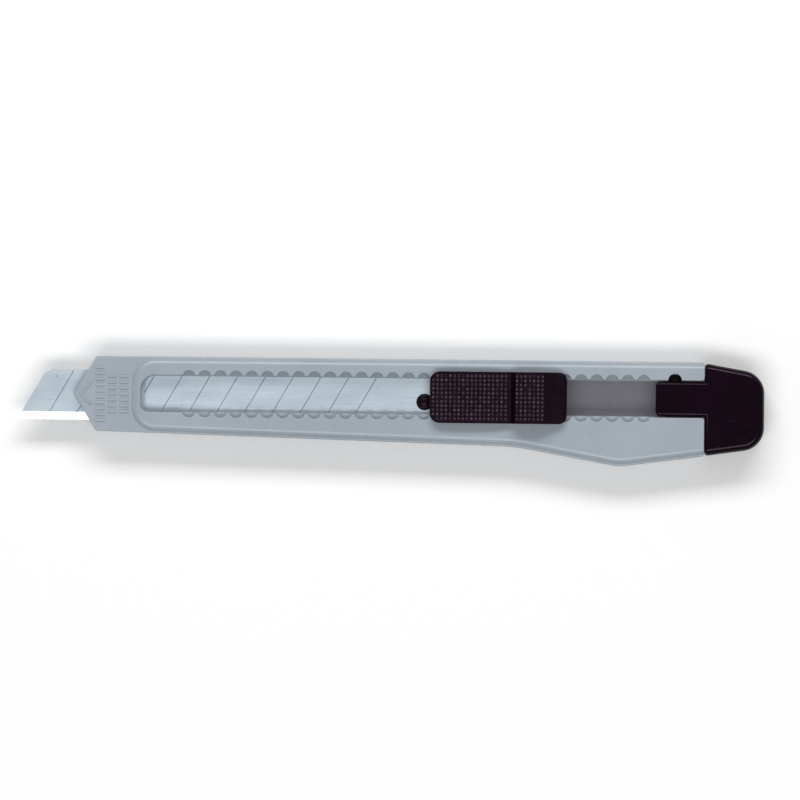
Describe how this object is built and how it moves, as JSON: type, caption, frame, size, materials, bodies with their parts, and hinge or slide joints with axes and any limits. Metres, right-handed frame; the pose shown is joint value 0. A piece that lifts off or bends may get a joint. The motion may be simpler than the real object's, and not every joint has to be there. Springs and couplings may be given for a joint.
{
  "type": "snap off knife",
  "caption": "Slim snap-off utility knife for a segmented blade, with a ratchet-slot handle, a textured thumb slide and a snap-in end cap.",
  "frame": {"origin": "on the flat back face, under the middle of the knife's length and height", "axes": "+X from the blade's tip to the end cap, +Y from the cutting edge to the spine, +Z out of the face that carries the thumb slide"},
  "size_m": [0.1346, 0.0188, 0.01],
  "materials": {
    "grey_plastic": "moulded satin, blue-grey",
    "black_textured_plastic": "moulded, pebbled grip on the top",
    "black_gloss_plastic": "moulded gloss",
    "blade_steel": "fine ground, with a brighter cutting bevel",
    "spring_steel": "rolled strip"
  },
  "bodies": {
    "handle": {"handle_body": "grey_plastic"},
    "slider": {"thumb_slide": "black_textured_plastic", "blade_carrier": "black_textured_plastic", "detent_spring": "spring_steel", "blade_tang": "blade_steel", "blade_segment_01": "blade_steel", "blade_segment_02": "blade_steel", "blade_segment_03": "blade_steel", "blade_segment_04": "blade_steel", "blade_segment_05": "blade_steel", "blade_segment_06": "blade_steel", "blade_segment_07": "blade_steel", "blade_segment_08": "blade_steel", "blade_segment_09": "blade_steel", "blade_segment_10": "blade_steel", "blade_segment_11": "blade_steel", "blade_segment_12": "blade_steel"},
    "cap": {"end_cap": "black_gloss_plastic", "latch_tongue": "black_gloss_plastic"}
  },
  "joints": [
    {"name": "blade_slide", "type": "slide", "parent": "handle", "child": "slider", "axis": [-1, 0, 0], "range_m": [-0.01413, 0.04802], "deforming": ["detent_spring"]},
    {"name": "cap_pull", "type": "slide", "parent": "handle", "child": "cap", "axis": [1, 0, 0], "range_m": [0, 0.015], "deforming": ["latch_tongue"]}
  ]
}
